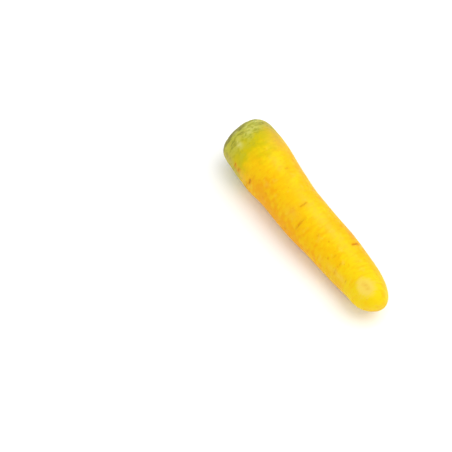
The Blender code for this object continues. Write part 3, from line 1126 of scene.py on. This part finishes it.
class CARROT_OT_leaf_stalks(bpy.types.Operator):
    """Makes the short cut leaf stalks in the sunken crown"""

    bl_idname = "carrot.leaf_stalks"
    bl_label = "Leaf stalks"

    def execute(self, context):
        root = Root(context.scene.carrot_sizes)
        draw = random.Random(STALK_SEED)
        work = bmesh.new()
        work.verts.layers.float.new("pith")
        for k, whorl in enumerate(STALK_WHORLS):
            for j in range(whorl[1]):
                middle = WHORL_TURN * k + 2 * math.pi * j / whorl[1]
                middle += draw.uniform(-STALK_TURN, STALK_TURN)
                self.add_stalk(work, draw, whorl, middle)
        bmesh.ops.recalc_face_normals(work, faces=work.faces)
        piece = finished(work, "leaf_stalks", stalk_material(context.scene.carrot_colours))
        piece.data.set_sharp_from_angle(angle=STALK_SHARP)
        flat = coordinates(piece.data)
        radius = np.hypot(flat[:, 0], flat[:, 1])
        angle = np.arctan2(flat[:, 1], flat[:, 0])
        station = np.full(len(flat), FACE_DEPTH)
        on_top = smoothstep((flat[:, 2] - STALK_FOOT) / STALK_HEIGHTS[0])
        rough = STALK_ROUGH * on_top * sprinkled(flat * (1, 1, 0), STALK_ROUGH_SCALE)
        points = root.place(station, angle, radius)
        points = points - (flat[:, 2] + rough)[:, None] * root.tangent(station)
        piece.data.vertices.foreach_set("co", root.laid_down(points).ravel())
        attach(piece, "root")
        return {"FINISHED"}

    def add_stalk(self, work, draw, whorl, middle):
        """One stalk: a crescent round the crown's middle, raised and cut off with a hollow end."""
        ring, _, half_arc, half_wall, curl = whorl
        size = draw.uniform(*STALK_SIZES)
        height = draw.uniform(*STALK_HEIGHTS)
        slant = draw.uniform(-STALK_SLANT, STALK_SLANT)
        columns, rows = STALK_GRID
        base = bmesh.ops.create_grid(work, x_segments=columns, y_segments=rows, size=1)["verts"]
        faces = list({face for vert in base for face in vert.link_faces})
        risen = bmesh.ops.extrude_face_region(work, geom=faces, use_keep_orig=True)["geom"]
        top = [part for part in risen if isinstance(part, bmesh.types.BMVert)]
        pith = work.verts.layers.float["pith"]
        for vert in base + top:
            along, across, _ = vert.co
            wall = half_wall * max(1 - abs(along) ** TIP_FULLNESS, THINNEST_TIP) ** TIP_BLUNTNESS
            reach = ring - curl * along**2 + across * wall * size
            angle = middle + along * size * half_arc / ring
            vert.co = (reach * math.cos(angle), reach * math.sin(angle), STALK_FOOT)
            if vert in top:
                inner = (1 - across**2) * (1 - along**2)
                vert.co.z = height + slant * along * half_arc - STALK_HOLLOW * inner
                vert[pith] = smoothstep(PITH_STEEPNESS * inner)


class CARROT_OT_studio(bpy.types.Operator):
    """Makes the floor, the lights and the camera"""

    bl_idname = "carrot.studio"
    bl_label = "Studio"

    def execute(self, context):
        studio = context.scene.carrot_studio
        self.add_floor(context.scene, studio)
        self.add_light(context.scene, "key_light", studio.key_power, KEY_SIZE, KEY_PLACE)
        self.light_world(context.scene, studio)
        self.add_camera(context.scene, studio)
        context.scene.view_settings.view_transform = "Standard"
        return {"FINISHED"}

    def add_floor(self, scene, studio):
        """A plain pale floor under the carrot."""
        recipe = Recipe("studio_floor")
        recipe.shader.inputs["Base Color"].default_value = (*studio.floor_colour, 1.0)
        recipe.shader.inputs["Roughness"].default_value = 0.9
        recipe.shader.inputs["Specular IOR Level"].default_value = 0.1
        work = bmesh.new()
        bmesh.ops.create_grid(work, x_segments=1, y_segments=1, size=studio.floor_size / 2)
        floor = finished(work, "studio_floor", recipe.material)

    def add_light(self, scene, name, power, size, place):
        """A large soft light that points at the carrot."""
        data = bpy.data.lights.new(name, "AREA")
        data.energy = power
        data.shape = "DISK"
        data.size = size
        light = bpy.data.objects.new(name, data)
        light.location = place
        light.rotation_euler = Vector(place).to_track_quat("Z", "Y").to_euler()
        scene.collection.objects.link(light)

    def light_world(self, scene, studio):
        """Even white light from all round."""
        world = bpy.data.worlds.new("studio_world")
        world.use_nodes = True
        background = world.node_tree.nodes["Background"]
        background.inputs["Color"].default_value = (1.0, 1.0, 1.0, 1.0)
        background.inputs["Strength"].default_value = studio.world_light
        scene.world = world

    def add_camera(self, scene, studio):
        """The camera, at the angle that the carrot is seen from."""
        data = bpy.data.cameras.new("studio_camera")
        data.lens = studio.lens
        camera = bpy.data.objects.new("studio_camera", data)
        flat = math.cos(studio.elevation)
        back = Vector((
            flat * math.sin(studio.azimuth),
            -flat * math.cos(studio.azimuth),
            math.sin(studio.elevation),
        ))
        camera.location = Vector(studio.target) + back * studio.distance
        camera.rotation_euler = back.to_track_quat("Z", "Y").to_euler()
        scene.collection.objects.link(camera)
        scene.camera = camera


class CARROT_PT_panel(bpy.types.Panel):
    """Lists the carrot's pieces, its sizes and its colours"""

    bl_idname = "CARROT_PT_panel"
    bl_label = "Topped yellow carrot"
    bl_space_type = "VIEW_3D"
    bl_region_type = "UI"
    bl_category = "Carrot"

    def draw(self, context):
        for operator in OPERATORS:
            self.layout.operator(operator.bl_idname)
        for name in PROPERTIES:
            group = getattr(context.scene, name)
            for field in group.__annotations__:
                self.layout.prop(group, field)


OPERATORS = (CARROT_OT_root_skin, CARROT_OT_leaf_stalks, CARROT_OT_studio)
PROPERTIES = {
    "carrot_sizes": CarrotSizes,
    "carrot_colours": CarrotColours,
    "carrot_studio": CarrotStudio,
}
CLASSES = (*PROPERTIES.values(), *OPERATORS, CARROT_PT_panel)


def register():
    for kind in CLASSES:
        bpy.utils.register_class(kind)
    for name, group in PROPERTIES.items():
        setattr(bpy.types.Scene, name, PointerProperty(type=group))


def unregister():
    for name in PROPERTIES:
        delattr(bpy.types.Scene, name)
    for kind in reversed(CLASSES):
        bpy.utils.unregister_class(kind)


def main():
    register()
    bpy.ops.carrot.root_skin()
    bpy.ops.carrot.leaf_stalks()
    bpy.ops.carrot.studio()


if __name__ == "__main__":
    main()
